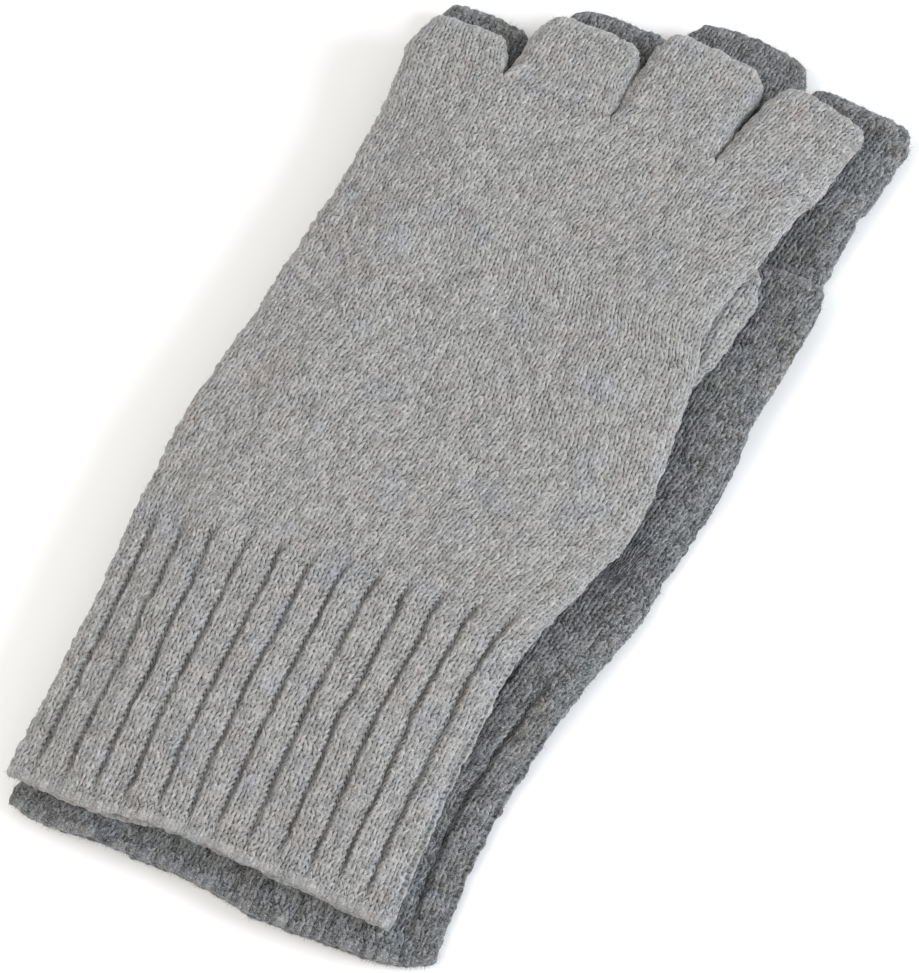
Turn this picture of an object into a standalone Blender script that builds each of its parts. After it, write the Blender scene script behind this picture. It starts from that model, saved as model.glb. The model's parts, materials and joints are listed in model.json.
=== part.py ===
"""A pair of knitted fingerless gloves, laid palm to palm: a light grey left glove, back up, on a
larger dark grey right glove, palm up. Every section of the knitting is its own piece: the ribbed
cuff with its cast-on edge, the hand, the four short fingers and the thumb with their bound-off
rims. X runs across the hand to the thumb side, Y from the cuff to the fingers, Z up."""

import math

import bmesh
import bpy
from mathutils import Vector

MM = 0.001

# Fabric, in millimetres
WALL = 1.7  # one layer of knitting
GAP = 0.3  # clearance between neighbouring pieces
SIDE_ROUND = 5.0  # how far the folded side of a flattened tube takes to round over
RIB_DEPTH = 0.7
RIBS = 26  # round one cuff
RIB_FLAT = 0.52  # share of a rib's pitch that is its flat top
RIB_GROOVE = 0.14  # share of a rib's pitch that is the bottom of the groove beside it
RIM_LENGTH = 3.0  # bound-off rim of a finger or thumb
WELT_LENGTH = 3.5  # cast-on edge of the cuff

# Heights of the flattened tubes, in millimetres
FULL_HEIGHT = 8.6  # hand and cuff, over the space for the hand
THIN_HEIGHT = 4.4  # hand beside and under the folded thumb
EDGE_HEIGHT = 5.4  # hand and cuff near the folded sides
FINGER_HEIGHT = 8.0
THUMB_HEIGHT = 4.2
THUMB_NECK = 1.2  # upright start of the thumb, over its hole in the hand

# Room for the folded thumb between the two hands, in millimetres
THUMB_CLEAR = 2.0  # from the slope's foot to the thumb, and from the thumb's hole to the full room
THUMB_BEND = 5.0  # over which the thumb's neck turns flat, past its hole

# Shares of half a glove's width between which the hand and cuff thin towards a folded side
THIN_FROM = 0.60
THIN_TO = 0.92

SIDE_POINTS = 14  # points along one face of a cuff edge section
FINGER_POINTS = 8  # points along one face of a finger section
THUMB_POINTS = 10  # points along one face of a thumb section

# The hand's sections from the wrist to the knuckles: how much of the room for the folded thumb
# each leaves, and how much its little-finger side thins. The third lies where the thumb begins,
# the seventh at its tip, and THUMB_SHARES places those between them along the thumb
THUMB_ROOM = (0.0, 0.6, 1.0, 1.0, 1.0, 1.0, 1.0, 0.0)
SIDE_THINNING = (1.0, 1.0, 1.0, 1.0, 1.0, 1.0, 0.5, 0.0)
THUMB_SHARES = (0.305, 0.593, 0.830)
WRIST_SHARE = 0.57  # place of the second section between the wrist and the thumb
TURN_FROM = 0.30  # the wrist's tilt is gone from this share of the hand's length
TURN_TO = 0.65  # and the knuckles' tilt grows past this one

SHARP_ANGLE = 50.0

LIGHT = {
    "name": "light",
    "colour": (0.36, 0.36, 0.355),
    "palm_x": -11.0,
    "palm_width": 100.0,
    "wrist_y": -34.0,
    "hand_length": 126.0,
    "wrist_tilt": 8.0,
    "knuckle_tilt": 6.2,
    "little_side": (0.975, 1.018, 1.025, 1.012, 1.003, 1.005, 1.025, 1.064),
    "thumb_side": (0.845, 0.950, 1.0, 0.975, 0.895, 0.848, 0.850, 0.950),
    "slope_length": 7.5,
    "cuff_length": 66.0,
    "cuff_middle_width": 88.5,
    "cuff_end_width": 88.0,
    "cuff_lean": 5.3,
    "cuff_end_tilt": 6.5,
    "crotches": (-0.580, -0.054, 0.468),  # from the palm's middle line, as shares of half of it
    "fingers": (
        # name, length, lean, how much narrower its tip is than its base, tip tilt
        ("little_finger", 10.0, -10.0, 3.5, 8.0),
        ("ring_finger", 21.0, 1.0, 2.5, 4.0),
        ("middle_finger", 27.0, 2.0, 1.3, 2.0),
        ("index_finger", 24.8, 10.0, 0.5, -3.0),
    ),
    "thumb_edge": 3.5,  # from the palm's thumb side to the thumb's outer side
    "thumb_y": 48.0,  # from the wrist
    "thumb_stop": 13.5,  # from the thumb's tip to the line of the knuckles
    "thumb_lean": 1.5,
    "thumb_width": 22.0,
    "thumb_hole_length": 16.0,
}

DARK = {
    "name": "dark",
    "colour": (0.125, 0.127, 0.125),
    "palm_x": -5.2,
    "palm_width": 109.5,
    "wrist_y": -37.0,
    "hand_length": 133.0,
    "wrist_tilt": 8.0,
    "knuckle_tilt": 6.2,
    "little_side": (0.910, 0.960, 1.0, 1.0, 0.990, 0.990, 1.0, 1.040),
    "thumb_side": (0.925, 1.0, 1.030, 1.025, 0.980, 0.940, 0.935, 0.945),
    "slope_length": 12.0,
    "cuff_length": 65.5,
    "cuff_middle_width": 94.5,
    "cuff_end_width": 97.0,
    "cuff_lean": 3.4,
    "cuff_end_tilt": 9.3,
    "crotches": (-0.654, -0.142, 0.451),
    "fingers": (
        ("little_finger", 13.5, -2.0, -0.5, 5.0),
        ("ring_finger", 24.0, 2.5, 4.2, 3.0),
        ("middle_finger", 32.4, 2.5, 5.2, 0.0),
        ("index_finger", 26.5, 4.0, 1.0, 0.0),
    ),
    "thumb_edge": 0.55,
    "thumb_y": 51.0,
    "thumb_stop": 13.6,
    "thumb_lean": 1.5,
    "thumb_width": 24.0,
    "thumb_hole_length": 16.0,
}

LOWER, UPPER = DARK, LIGHT
THUMB_STACK = 2 * (THUMB_HEIGHT + GAP)  # both thumbs lie on each other between the hands
UPPER_BASE = max(FULL_HEIGHT, FINGER_HEIGHT) + GAP  # the upper glove lies on the lower one


def remove_everything():
    for obj in list(bpy.data.objects):
        bpy.data.objects.remove(obj, do_unlink=True)


def wool(name, colour):
    material = bpy.data.materials.new(name + "_wool")
    material.diffuse_color = (*colour, 1.0)
    material.use_nodes = True
    shader = material.node_tree.nodes["Principled BSDF"]
    shader.inputs["Base Color"].default_value = (*colour, 1.0)
    shader.inputs["Roughness"].default_value = 0.95
    shader.inputs["Metallic"].default_value = 0.0
    return material


def heading(degrees):
    """Unit vector in the table's plane, turned from +Y towards +X."""
    angle = math.radians(degrees)
    return Vector((math.sin(angle), math.cos(angle), 0.0))


def ease(value, start, end):
    part = min(max((value - start) / (end - start), 0.0), 1.0)
    return part * part * (3.0 - 2.0 * part)


# Sections. A section is a closed curve round a flattened tube, as (across, height) pairs that
# start at the little-finger side and run over the top to the thumb side and back below.


def rounding(across, left, right, reach):
    """1 over the flat of a tube, falling to 0 at its two folded sides."""
    inside = min(across - left, right - across)
    if inside >= reach:
        return 1.0
    return math.sqrt(max(0.0, 1.0 - (1.0 - inside / reach) ** 2))


def section(places, levels, inset, reach):
    """Closed curve round a tube: places are its points across, and the ends are its two sides."""
    left, right = places[0], places[-1]

    def point(across, side):
        low, high = levels(across)
        half = (high - low) / 2 - inset
        return across, (low + high) / 2 + side * half * rounding(across, left, right, reach)

    top = [point(across, 1) for across in places]
    under = [point(across, -1) for across in places]
    return top + under[-2:0:-1]


def round_places(left, right, count):
    """Places across a tube that crowd towards its two sides, as on a circle."""
    middle, half = (left + right) / 2, (right - left) / 2
    return [middle - half * math.cos(math.pi * step / (count - 1)) for step in range(count)]


def rib_places(left, right, ribs):
    """Places across one face with two points on each rib and two in each groove between."""
    shares = [0.0]
    for rib in range(ribs):
        if rib:
            shares += [(rib - RIB_GROOVE / 2) / ribs, (rib + RIB_GROOVE / 2) / ribs]
        shares += [(rib + 0.5 - RIB_FLAT / 2) / ribs, (rib + 0.5 + RIB_FLAT / 2) / ribs]
    return [left + (right - left) * share for share in shares + [1.0]]


def press_grooves(points, ribs):
    """Push the groove points of a ribbed section in towards the middle of the tube."""
    per_face = 4 * ribs
    middle = sum(height for _, height in points) / len(points)
    pressed = []
    for index, (across, height) in enumerate(points):
        step = index if index < per_face else 2 * (per_face - 1) - index
        groove = step not in (0, per_face - 1) and (step - 1) % 4 in (2, 3)
        if groove:
            height += RIB_DEPTH if height < middle else -RIB_DEPTH
        pressed.append((across, height))
    return pressed


def placed(points, centre, tilt):
    """A section stood upright in the part, across a line turned by tilt from +X."""
    angle = math.radians(tilt)
    run = Vector((math.cos(angle), math.sin(angle), 0.0))
    return [Vector((centre[0], centre[1], height)) + across * run for across, height in points]


def tube(name, colour, outer, inner, pivot=(0.0, 0.0, 0.0)):
    """A tube that is open at both ends, lofted through matching outer and inner rings."""
    mesh = bpy.data.meshes.new(name)
    form = bmesh.new()
    shift = Vector(pivot)
    loops = []
    for ring in outer + inner[::-1]:
        loops.append([form.verts.new((point - shift) * MM) for point in ring])
    for first, second in zip(loops, loops[1:] + loops[:1]):
        for index in range(len(first)):
            after = (index + 1) % len(first)
            form.faces.new((first[index], first[after], second[after], second[index]))
    bmesh.ops.recalc_face_normals(form, faces=form.faces)
    form.to_mesh(mesh)
    form.free()
    mesh.shade_smooth()
    mesh.set_sharp_from_angle(angle=math.radians(SHARP_ANGLE))
    mesh.materials.append(wool(name, colour))
    obj = bpy.data.objects.new(name, mesh)
    obj.location = shift * MM
    return obj


class Glove:
    """Works out where the sections of one glove lie."""

    def __init__(self, sizes, base):
        self.sizes = sizes
        self.base = base
        self.upper = sizes is UPPER
        self.half = sizes["palm_width"] / 2
        self.raise_by = THIN_HEIGHT + THUMB_STACK + GAP - UPPER_BASE
        self.thumb_x = self.half - sizes["thumb_edge"] - sizes["thumb_width"] / 2
        self.slope_to = self.thumb_x - sizes["thumb_width"] / 2 - THUMB_CLEAR
        self.slope_from = self.slope_to - sizes["slope_length"]
        self.thumb_length = sizes["hand_length"] - sizes["thumb_y"] - sizes["thumb_stop"]
        self.stations = self.section_stations()

    def section_stations(self):
        """How far from the wrist each section of the hand lies."""
        sizes = self.sizes
        begin = sizes["thumb_y"] - sizes["thumb_hole_length"] / 2 - THUMB_CLEAR
        tip = sizes["thumb_y"] + self.thumb_length
        along = [begin + (tip - begin) * share for share in THUMB_SHARES]
        return (0.0, WRIST_SHARE * begin, begin, *along, tip, sizes["hand_length"])

    def name(self, part):
        return f"{self.sizes['name']}_{part}"

    def hand_levels(self, index, centre_shift):
        """Lowest and highest point of the hand across one section."""

        def levels(across):
            place = across + centre_shift
            thin = THUMB_ROOM[index] * ease(place, self.slope_from, self.slope_to)
            side = 1.0 - ease(place / self.half, -THIN_TO, -THIN_FROM)
            height = FULL_HEIGHT + (THIN_HEIGHT - FULL_HEIGHT) * thin
            height += (EDGE_HEIGHT - FULL_HEIGHT) * side * SIDE_THINNING[index]
            low = self.base + (self.raise_by * thin if self.upper else 0.0)
            return low, low + height

        return levels

    def hand_station(self, index):
        """Centre, left and right reach, tilt and levels of one section of the hand."""
        sizes = self.sizes
        along = self.stations[index] / sizes["hand_length"]
        little = -sizes["little_side"][index] * self.half
        thumb = sizes["thumb_side"][index] * self.half
        centre = (little + thumb) / 2
        tilt = sizes["wrist_tilt"] * max(0.0, 1.0 - along / TURN_FROM)
        tilt += sizes["knuckle_tilt"] * max(0.0, (along - TURN_TO) / (1.0 - TURN_TO))
        place = (sizes["palm_x"] + centre, sizes["wrist_y"] + self.stations[index])
        return place, little - centre, thumb - centre, tilt, self.hand_levels(index, centre)

    def knuckle(self, across, past=0.0):
        """A point on the line of the knuckles, given from the palm's middle line."""
        place, _, _, tilt, _ = self.hand_station(len(THUMB_ROOM) - 1)
        angle = math.radians(tilt)
        run = (across + self.sizes["palm_x"] - place[0]) / math.cos(angle)
        return Vector((
            place[0] + run * math.cos(angle) - past * math.sin(angle),
            place[1] + run * math.sin(angle) + past * math.cos(angle),
            0.0,
        ))

    def finger_span(self, index):
        """Left and right end of a finger's base, from the palm's middle line."""
        edges = [-self.sizes["little_side"][-1] * self.half]
        edges += [share * self.half for share in self.sizes["crotches"]]
        edges.append(self.sizes["thumb_side"][-1] * self.half)
        left = edges[index] + (GAP / 2 if index > 0 else 0.0)
        right = edges[index + 1] - (GAP / 2 if index < 3 else 0.0)
        return left, right

    def thumb_face(self):
        """Height of the hand's surface that the thumb lies on, and the way it stands off it."""
        if self.upper:
            return self.base + self.raise_by, -1
        return self.base + THIN_HEIGHT, 1


def hand_places(glove, left, right, shift):
    """Places across the hand: its rounded sides, its flat, and the slope down to the thumb."""
    slope_from = glove.slope_from - shift
    slope_to = glove.slope_to - shift
    side = (0.0, 0.07 * SIDE_ROUND, 0.3 * SIDE_ROUND, SIDE_ROUND)
    places = [left + reach for reach in side]
    places += [-0.60 * glove.half - shift, -0.30 * glove.half - shift, -shift]
    places += [slope_from, (slope_from + slope_to) / 2, slope_to, (slope_to + right - SIDE_ROUND) / 2]
    return places + [right - reach for reach in side[::-1]]


def make_hand(glove):
    rings = {0.0: [], WALL: []}
    for index in range(len(THUMB_ROOM)):
        centre, left, right, tilt, levels = glove.hand_station(index)
        shift = centre[0] - glove.sizes["palm_x"]
        for inset, made in rings.items():
            places = hand_places(glove, left + inset, right - inset, shift)
            made.append(placed(section(places, levels, inset, SIDE_ROUND), centre, tilt))
    hand = tube(glove.name("hand"), glove.sizes["colour"], rings[0.0], rings[WALL])
    cutter = thumb_hole_cutter(glove)
    cut = hand.modifiers.new("thumb hole", "BOOLEAN")
    cut.object = cutter
    cut.operation = "DIFFERENCE"
    return hand, cutter


def thumb_base(glove):
    sizes = glove.sizes
    return Vector((sizes["palm_x"] + glove.thumb_x, sizes["wrist_y"] + sizes["thumb_y"], 0.0))


def thumb_hole_cutter(glove):
    """An oval plug through the layer of the hand that the thumb grows from."""
    sizes = glove.sizes
    surface, _ = glove.thumb_face()
    depth = WALL + (THIN_HEIGHT - 2 * WALL) / 2
    form = bmesh.new()
    bmesh.ops.create_cone(form, cap_ends=True, segments=2 * THUMB_POINTS - 2, radius1=1.0, radius2=1.0, depth=1.0)
    across = sizes["thumb_width"] / 2 - WALL
    along = sizes["thumb_hole_length"] / 2 - WALL
    bmesh.ops.scale(form, vec=(across * MM, along * MM, 2 * depth * MM), verts=form.verts)
    centre = thumb_base(glove)
    centre.z = surface
    bmesh.ops.translate(form, vec=centre * MM, verts=form.verts)
    mesh = bpy.data.meshes.new(glove.name("thumb_hole"))
    form.to_mesh(mesh)
    form.free()
    cutter = bpy.data.objects.new(glove.name("thumb_hole"), mesh)
    cutter.hide_render = True
    cutter.display_type = "WIRE"
    return cutter


def cuff_ring(glove, along, inset, ribbed):
    """One section of the cuff, a distance along it below the wrist."""
    sizes = glove.sizes
    top_centre, left, right, tilt, _ = glove.hand_station(0)
    part = along / sizes["cuff_length"]
    widths = (right - left, sizes["cuff_middle_width"], sizes["cuff_end_width"])
    half = widths[0] / 2 * (1.0 - part) * (1.0 - 2.0 * part)
    half += widths[1] / 2 * 4.0 * part * (1.0 - part) + widths[2] / 2 * part * (2.0 * part - 1.0)
    centre = Vector((*top_centre, 0.0)) - along * heading(-sizes["cuff_lean"])
    turn = tilt * (1.0 - part) + sizes["cuff_end_tilt"] * part

    def levels(across):
        side = ease(abs(across) / half, THIN_FROM, THIN_TO)
        return glove.base, glove.base + FULL_HEIGHT + (EDGE_HEIGHT - FULL_HEIGHT) * side

    reach = half - inset
    if ribbed:
        places = rib_places(-reach, reach, RIBS // 2)
        points = section(places, levels, inset, SIDE_ROUND)
        if inset == 0.0:
            points = press_grooves(points, RIBS // 2)
    else:
        points = section(round_places(-reach, reach, SIDE_POINTS), levels, inset, SIDE_ROUND)
    return placed(points, centre, turn)


def make_cuff(glove):
    """The ribbed cuff, and the plain cast-on edge below it."""
    length = glove.sizes["cuff_length"]
    pieces = []
    for part_name, ends, ribbed in (
        ("cuff", (GAP, length / 2, length - WELT_LENGTH - GAP), True),
        ("cuff_edge", (length - WELT_LENGTH, length), False),
    ):
        outer = [cuff_ring(glove, along, 0.0, ribbed) for along in ends]
        inner = [cuff_ring(glove, along, WALL, ribbed) for along in ends]
        pieces.append(tube(glove.name(part_name), glove.sizes["colour"], outer, inner))
    return pieces


def make_finger(glove, index):
    """The finger's tube and its rim."""
    name, length, lean, taper, tip_tilt = glove.sizes["fingers"][index]
    left, right = glove.finger_span(index)
    base = (glove.knuckle(left, GAP) + glove.knuckle(right, GAP)) / 2
    tip = base + length * heading(lean)

    def levels(_):
        return glove.base, glove.base + FINGER_HEIGHT

    def ring(along, inset):
        part = along / length
        half = (right - left - taper * part) / 2
        turn = glove.sizes["knuckle_tilt"] * (1.0 - part) + tip_tilt * part
        centre = base.lerp(tip, part)
        places = round_places(inset - half, half - inset, FINGER_POINTS)
        return placed(section(places, levels, inset, FINGER_HEIGHT / 2), centre, turn)

    body_end = length - RIM_LENGTH - GAP
    pieces = []
    for part_name, ends in (
        (name, (0.0, body_end / 2, body_end)),
        (name.replace("finger", "rim"), (length - RIM_LENGTH, length)),
    ):
        outer = [ring(along, 0.0) for along in ends]
        inner = [ring(along, WALL) for along in ends]
        pieces.append(tube(glove.name(part_name), glove.sizes["colour"], outer, inner))
    return pieces


def make_thumb(glove):
    """The thumb rises from its hole in the hand and lies flat along the hand's edge."""
    sizes = glove.sizes
    surface, away = glove.thumb_face()
    start = thumb_base(glove)
    run = heading(sizes["thumb_lean"])
    half = sizes["thumb_width"] / 2
    hole = sizes["thumb_hole_length"] / 2
    length = glove.thumb_length

    def neck(height, inset):
        points = []
        count = 2 * THUMB_POINTS - 2
        for step in range(count):
            angle = math.pi - 2 * math.pi * step / count
            across = (half - inset) * math.cos(angle)
            back = (hole - inset) * math.sin(angle)
            points.append(start + Vector((across, -back, surface + away * (GAP + height))))
        return points

    def flat(along, inset):
        def levels(_):
            return 0.0, THUMB_HEIGHT

        places = round_places(inset - half, half - inset, THUMB_POINTS)
        points = section(places, levels, inset, SIDE_ROUND)
        centre = start + along * run
        lifted = [(across, surface + away * (GAP + height)) for across, height in points]
        return placed(lifted, centre, -sizes["thumb_lean"])

    bend = hole + THUMB_BEND
    body_end = length - RIM_LENGTH - GAP
    flats = (bend, (bend + body_end) / 2, body_end)
    outer = [neck(0.0, 0.0), neck(THUMB_NECK, 0.0)] + [flat(along, 0.0) for along in flats]
    inner = [neck(0.0, WALL), neck(THUMB_NECK, WALL)] + [flat(along, WALL) for along in flats]
    thumb = tube(glove.name("thumb"), sizes["colour"], outer, inner, start)
    ends = (length - RIM_LENGTH, length)
    outer = [flat(along, 0.0) for along in ends]
    inner = [flat(along, WALL) for along in ends]
    return thumb, tube(glove.name("thumb_rim"), sizes["colour"], outer, inner, start)


def make_glove(sizes, base):
    glove = Glove(sizes, base)
    hand, cutter = make_hand(glove)
    pieces = [hand, *make_cuff(glove), *make_thumb(glove)]
    for index in range(len(sizes["fingers"])):
        pieces += make_finger(glove, index)
    return pieces, cutter


def centre_on_table(pieces, cutters):
    """Move everything so that the pair stands on z = 0 with its box centred on the origin."""
    corners = [obj.matrix_world @ vertex.co for obj in pieces for vertex in obj.data.vertices]
    low = [min(corner[axis] for corner in corners) for axis in range(3)]
    high = [max(corner[axis] for corner in corners) for axis in range(3)]
    shift = Vector((-(low[0] + high[0]) / 2, -(low[1] + high[1]) / 2, -low[2]))
    for obj in pieces + cutters:
        obj.location += shift
    print("moved by", [round(value / MM, 3) for value in shift])


def main():
    remove_everything()
    parts = bpy.data.collections.new("fingerless_gloves")
    helpers = bpy.data.collections.new("cutters")
    bpy.context.scene.collection.children.link(parts)
    bpy.context.scene.collection.children.link(helpers)
    lower, lower_cutter = make_glove(LOWER, 0.0)
    upper, upper_cutter = make_glove(UPPER, UPPER_BASE)
    for obj in lower + upper:
        parts.objects.link(obj)
    for obj in (lower_cutter, upper_cutter):
        helpers.objects.link(obj)
    bpy.context.view_layer.update()
    centre_on_table(lower + upper, [lower_cutter, upper_cutter])


main()
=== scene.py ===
# %% [markdown]
# # A pair of knitted fingerless gloves
# Two wool gloves lie palm to palm: a light grey one on a larger dark grey one. Each is knitted as
# a set of tubes: a ribbed cuff, a hand, four short fingers and a thumb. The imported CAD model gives
# every tube as a plain shell. This lesson puts real stitches on those shells: each stitch is a
# small V of two yarn legs, modelled in the mesh, because light catches wool by its shape first.

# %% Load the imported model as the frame
import json
import math

import bpy
import numpy as np
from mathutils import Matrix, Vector


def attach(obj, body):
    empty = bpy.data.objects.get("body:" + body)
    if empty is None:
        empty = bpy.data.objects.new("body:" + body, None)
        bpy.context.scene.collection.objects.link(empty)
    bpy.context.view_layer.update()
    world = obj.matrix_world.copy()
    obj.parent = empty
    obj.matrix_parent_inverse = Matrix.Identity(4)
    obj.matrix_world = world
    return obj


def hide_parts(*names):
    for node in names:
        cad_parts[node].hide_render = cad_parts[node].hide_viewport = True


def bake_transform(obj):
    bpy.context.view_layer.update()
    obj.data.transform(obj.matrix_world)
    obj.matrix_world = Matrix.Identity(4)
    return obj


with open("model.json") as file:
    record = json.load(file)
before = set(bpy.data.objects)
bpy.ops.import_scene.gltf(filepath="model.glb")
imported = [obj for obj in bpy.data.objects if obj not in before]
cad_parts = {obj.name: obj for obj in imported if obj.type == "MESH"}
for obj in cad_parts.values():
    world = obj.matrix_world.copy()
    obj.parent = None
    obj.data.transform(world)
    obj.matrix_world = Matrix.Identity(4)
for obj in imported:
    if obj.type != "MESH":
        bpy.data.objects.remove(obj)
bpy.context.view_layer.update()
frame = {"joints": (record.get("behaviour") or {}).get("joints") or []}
MM = 0.001

# %% [markdown]
# ## Sizes
# All lengths are in millimetres. The knitting must lie where the CAD shells are, so these are the
# CAD's own sizes: one layer of wool, the heights of the flattened tubes, and for each glove its
# palm, cuff, fingers and thumb. A dictionary per glove keeps the two apart, since they are
# different hands and different sizes.

# %% Sizes that both gloves share
WALL = 1.7
GAP = 0.3
SIDE_ROUND = 5.0
RIBS = 26
RIM_LENGTH = 3.0
WELT_LENGTH = 3.5
FULL_HEIGHT, THIN_HEIGHT, EDGE_HEIGHT = 8.6, 4.4, 5.4
FINGER_HEIGHT, THUMB_HEIGHT, THUMB_BEND = 8.0, 4.2, 5.0
THUMB_CLEAR = 2.0
THIN_FROM, THIN_TO = 0.60, 0.92
THUMB_ROOM = (0.0, 0.6, 1.0, 1.0, 1.0, 1.0, 1.0, 0.0)
SIDE_THINNING = (1.0, 1.0, 1.0, 1.0, 1.0, 1.0, 0.5, 0.0)
THUMB_SHARES = (0.305, 0.593, 0.830)
WRIST_SHARE = 0.57
WRIST_TILT, KNUCKLE_TILT = 8.0, 6.2
TURN_FROM, TURN_TO = 0.30, 0.65
print("one layer of wool:", WALL, "mm")
UPPER_BASE = FULL_HEIGHT + GAP

# %% Sizes of the light glove
LIGHT = {
    "name": "light", "base": UPPER_BASE,
    "palm_x": -11.0, "palm_width": 100.0, "wrist_y": -34.0, "hand_length": 126.0,
    "little_side": (0.975, 1.018, 1.025, 1.012, 1.003, 1.005, 1.025, 1.064),
    "thumb_side": (0.845, 0.950, 1.0, 0.975, 0.895, 0.848, 0.850, 0.950),
    "slope_length": 7.5,
    "cuff_length": 66.0, "cuff_middle_width": 88.5, "cuff_end_width": 88.0,
    "cuff_end_tilt": 6.5,
    "crotches": (-0.580, -0.054, 0.468),
    "fingers": (
        ("little", 10.0, -10.0, 3.5, 8.0),
        ("ring", 21.0, 1.0, 2.5, 4.0),
        ("middle", 27.0, 2.0, 1.3, 2.0),
        ("index", 24.8, 10.0, 0.5, -3.0),
    ),
    "thumb_edge": 3.5, "thumb_y": 48.0, "thumb_stop": 13.5,
    "thumb_lean": 1.5, "thumb_width": 22.0, "thumb_hole_length": 16.0,
}

# %% Sizes of the dark glove
DARK = {
    "name": "dark", "base": 0.0,
    "palm_x": -5.2, "palm_width": 109.5, "wrist_y": -37.0, "hand_length": 133.0,
    "little_side": (0.910, 0.960, 1.0, 1.0, 0.990, 0.990, 1.0, 1.040),
    "thumb_side": (0.925, 1.0, 1.030, 1.025, 0.980, 0.940, 0.935, 0.945),
    "slope_length": 12.0,
    "cuff_length": 65.5, "cuff_middle_width": 94.5, "cuff_end_width": 97.0,
    "cuff_end_tilt": 9.3,
    "crotches": (-0.654, -0.142, 0.451),
    "fingers": (
        ("little", 13.5, -2.0, -0.5, 5.0),
        ("ring", 24.0, 2.5, 4.2, 3.0),
        ("middle", 32.4, 2.5, 5.2, 0.0),
        ("index", 26.5, 4.0, 1.0, 0.0),
    ),
    "thumb_edge": 0.55, "thumb_y": 51.0, "thumb_stop": 13.6,
    "thumb_lean": 1.5, "thumb_width": 24.0, "thumb_hole_length": 16.0,
}

# %% Sizes that follow from those
for sizes in (LIGHT, DARK):
    sizes["half"] = sizes["palm_width"] / 2
    sizes["thumb_x"] = sizes["half"] - sizes["thumb_edge"] - sizes["thumb_width"] / 2
    sizes["thumb_length"] = sizes["hand_length"] - sizes["thumb_y"] - sizes["thumb_stop"]
    sizes["slope_to"] = sizes["thumb_x"] - sizes["thumb_width"] / 2 - THUMB_CLEAR
    sizes["slope_from"] = sizes["slope_to"] - sizes["slope_length"]
    print(sizes["name"], "thumb length:", round(sizes["thumb_length"], 1), "mm")

# %% [markdown]
# ## From the drawing's place to the part's place
# The sizes above are measured from the drawing's own middle. The part is centred on the table
# instead. Both systems know where the dark thumb turns, so the difference between the two is the
# move that takes one into the other, and nothing has to be guessed.

# %% The move into the part's frame
hinges = {joint["name"]: joint for joint in frame["joints"] if "pos_m" in joint}
dark_turn = hinges["dark_thumb_swing"]["pos_m"]
PLACE = np.array([
    dark_turn[0] / MM - DARK["palm_x"] - DARK["thumb_x"],
    dark_turn[1] / MM - DARK["wrist_y"] - DARK["thumb_y"],
    0.0,
])
print("the part lies", PLACE.round(3), "mm from the drawing")

# %% [markdown]
# ## Small helpers
# `ease` goes softly from 0 to 1. `line_through` draws a smooth line through a few given values
# without ever swinging past them, which is how the glove's outline gets its curves. `lumps` is
# soft random unevenness that is the same on every run.

# %% Helpers for smooth lines
def ease(value, start, end):
    part = np.clip((np.asarray(value, float) - start) / (end - start), 0.0, 1.0)
    return part * part * (3.0 - 2.0 * part)


def heading(degrees):
    return np.array([math.sin(math.radians(degrees)), math.cos(math.radians(degrees)), 0.0])


def line_through(places, values):
    places, values = np.asarray(places, float), np.asarray(values, float)
    step = np.diff(places)
    slope = np.diff(values) / step
    lean = np.concatenate([slope[:1], np.zeros(len(slope) - 1), slope[-1:]])
    same = slope[:-1] * slope[1:] > 0
    lean[1:-1][same] = (2 * slope[:-1] * slope[1:])[same] / (slope[:-1] + slope[1:])[same]

    def line(where):
        where = np.asarray(where, float)
        span = np.clip(np.searchsorted(places, where) - 1, 0, len(step) - 1)
        part = np.clip((where - places[span]) / step[span], 0.0, 1.0)
        past = where - np.clip(where, places[0], places[-1])
        height = values[span] * (1 + 2 * part) * (1 - part) ** 2
        height = height + values[span + 1] * part * part * (3 - 2 * part)
        height = height + step[span] * lean[span] * part * (1 - part) ** 2
        height = height + step[span] * lean[span + 1] * part * part * (part - 1)
        return height + past * lean[np.where(past < 0, 0, len(lean) - 1)]

    return line


# %% Soft unevenness
LATTICE = np.random.RandomState(7).uniform(-1.0, 1.0, (32, 32, 32))


def lumps(points, size, seed=0):
    """Soft random values from -1 to 1 that change over about the given size."""
    place = np.asarray(points, float) / size + 5.37 * seed + 100.0
    low = np.floor(place).astype(int)
    part = place - low
    part = part * part * (3.0 - 2.0 * part)
    total = 0.0
    for corner in np.ndindex(2, 2, 2):
        weight = np.prod(np.where(corner, part, 1.0 - part), axis=-1)
        index = (low + corner) % 32
        total = total + weight * LATTICE[index[..., 0], index[..., 1], index[..., 2]]
    return total

# %% [markdown]
# ## The shape under the stitches
# Every section of a glove is a flattened tube. A cut through it is a closed line that starts at
# the left fold, runs over the top to the right fold and comes back below. `flat_ring` draws that
# line from the two faces' heights, and `evenly` puts points on it at equal steps, because yarn
# keeps its length: a stitch is as wide on a fold as on the flat.

# %% Cross sections
def flat_ring(left, right, levels, reach, count=150):
    """Points (across, height) round a tube. reach is how far each fold takes to round over."""
    across = (left + right) / 2 - (right - left) / 2 * np.cos(np.linspace(0, math.pi, count))
    low, high = levels(across)
    reach_left, reach_right = reach if isinstance(reach, tuple) else (reach, reach)
    inside = np.minimum((across - left) / reach_left, (right - across) / reach_right)
    full = np.sqrt(np.clip(1.0 - (1.0 - np.clip(inside, 0, 1)) ** 2, 0, 1))
    half = (high - low) / 2 * full
    middle = (high + low) / 2
    top = np.stack([across, middle + half], axis=-1)
    under = np.stack([across, middle - half], axis=-1)
    return np.concatenate([top, under[-2::-1]])


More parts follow.
